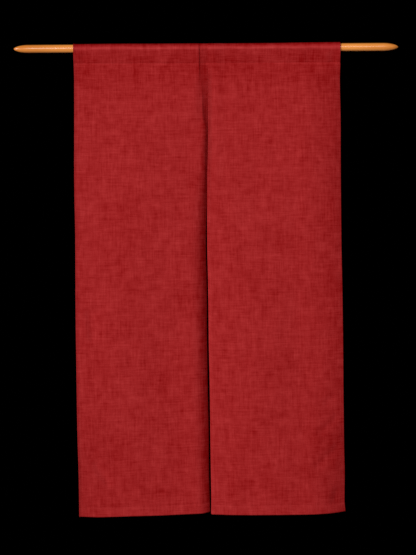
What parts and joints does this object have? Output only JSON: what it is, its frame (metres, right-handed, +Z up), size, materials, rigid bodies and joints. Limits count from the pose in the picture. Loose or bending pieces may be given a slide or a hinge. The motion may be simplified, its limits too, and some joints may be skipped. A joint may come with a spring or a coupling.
{
  "type": "split noren curtain on a wooden rod",
  "caption": "Plain split noren curtain of woven cloth, its two hemmed panels hanging by a sewn pocket from a pointed wooden rod.",
  "frame": {"origin": "middle of the rod's axis, where the rod's holders carry it", "axes": "+X along the rod to the right as seen from the front, +Y to the back, +Z up; the cloth's face looks to -Y"},
  "size_m": [1.222, 0.0498, 1.5048],
  "materials": {
    "red_cloth": "matt plain weave with slubs",
    "rod_wood": "satin varnish over pale straight-grained wood"
  },
  "bodies": {
    "root": {"rod": "rod_wood", "panel_left": "red_cloth", "panel_right": "red_cloth"}
  },
  "joints": []
}
